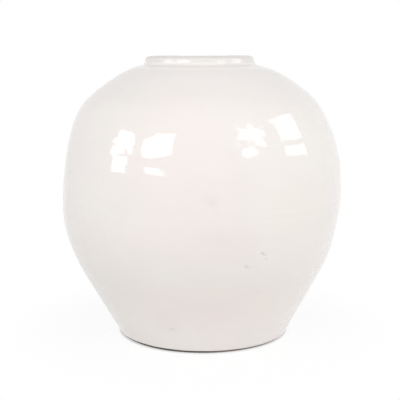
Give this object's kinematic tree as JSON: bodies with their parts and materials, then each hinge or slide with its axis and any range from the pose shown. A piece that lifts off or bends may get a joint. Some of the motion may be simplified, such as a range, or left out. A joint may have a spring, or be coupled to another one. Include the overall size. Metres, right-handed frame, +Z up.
{
  "type": "ceramic vase",
  "caption": "Wide-shouldered white glazed stoneware vase with a short rolled collar, thrown in sections and luted at tongued seams, with a bare turned foot.",
  "frame": {"origin": "centre of the foot, on the vase's axis at table level", "axes": "+Z up the vase's axis, -Y towards the viewer"},
  "size_m": [0.362, 0.362, 0.36],
  "materials": {
    "bare_clay": "unglazed fired stoneware",
    "fired_slip": "fired clay slip",
    "liner_glaze": "glossy glaze",
    "white_glaze": "glossy warm white glaze"
  },
  "bodies": {
    "root": {"turned_base": "bare_clay", "base_slip": "fired_slip", "lower_wall": "bare_clay", "belly_slip": "fired_slip", "upper_wall": "bare_clay", "neck_slip": "fired_slip", "neck_collar": "bare_clay", "liner_glaze": "liner_glaze", "outer_glaze": "white_glaze"}
  },
  "joints": []
}
